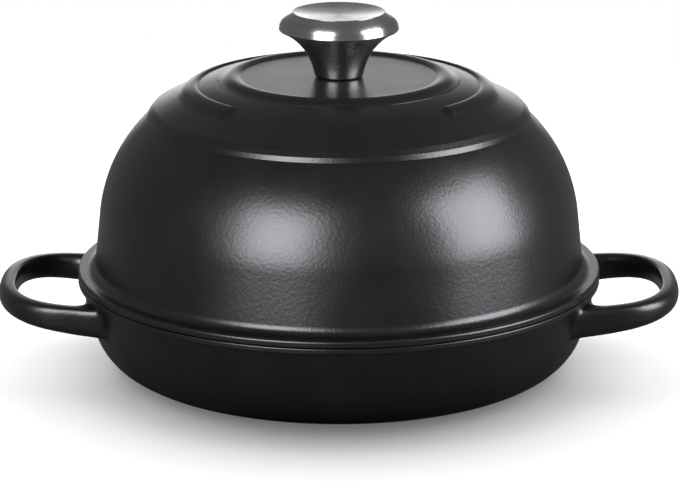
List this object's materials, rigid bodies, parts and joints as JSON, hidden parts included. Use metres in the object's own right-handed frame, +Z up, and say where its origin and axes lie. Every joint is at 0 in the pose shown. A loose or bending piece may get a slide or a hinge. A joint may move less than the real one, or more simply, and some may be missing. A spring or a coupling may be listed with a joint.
{
  "type": "bread pot",
  "caption": "Cast-iron bread pot: a shallow pan with loop handles under a tall domed lid that lifts off by its steel knob, for baking and holding a loaf.",
  "frame": {"origin": "centre of the pan's flat base, on the surface that the pot stands on", "axes": "+X through both loop handles, +Z up along the axis of pan, lid and knob, -Y to the front, where the bead on the lid's crown is open"},
  "size_m": [0.3338, 0.256, 0.1762],
  "materials": {
    "pan_enamel": "satin black enamel with a fine pebbled grain",
    "lid_enamel": "satin black enamel with a fine pebbled grain",
    "knob_steel": "stainless steel, brushed round the axis",
    "fastener_steel": "plain turned stainless steel"
  },
  "bodies": {
    "pan": {"base_pan": "pan_enamel"},
    "lid": {"dome_lid": "lid_enamel", "knob_shell": "knob_steel", "knob_cap": "knob_steel", "knob_bush": "fastener_steel", "knob_washer": "fastener_steel", "knob_screw": "fastener_steel"}
  },
  "joints": [
    {"name": "lid_lift", "type": "slide", "parent": "pan", "child": "lid", "axis": [0, 0, 1], "range_m": [0, 0.15]}
  ]
}
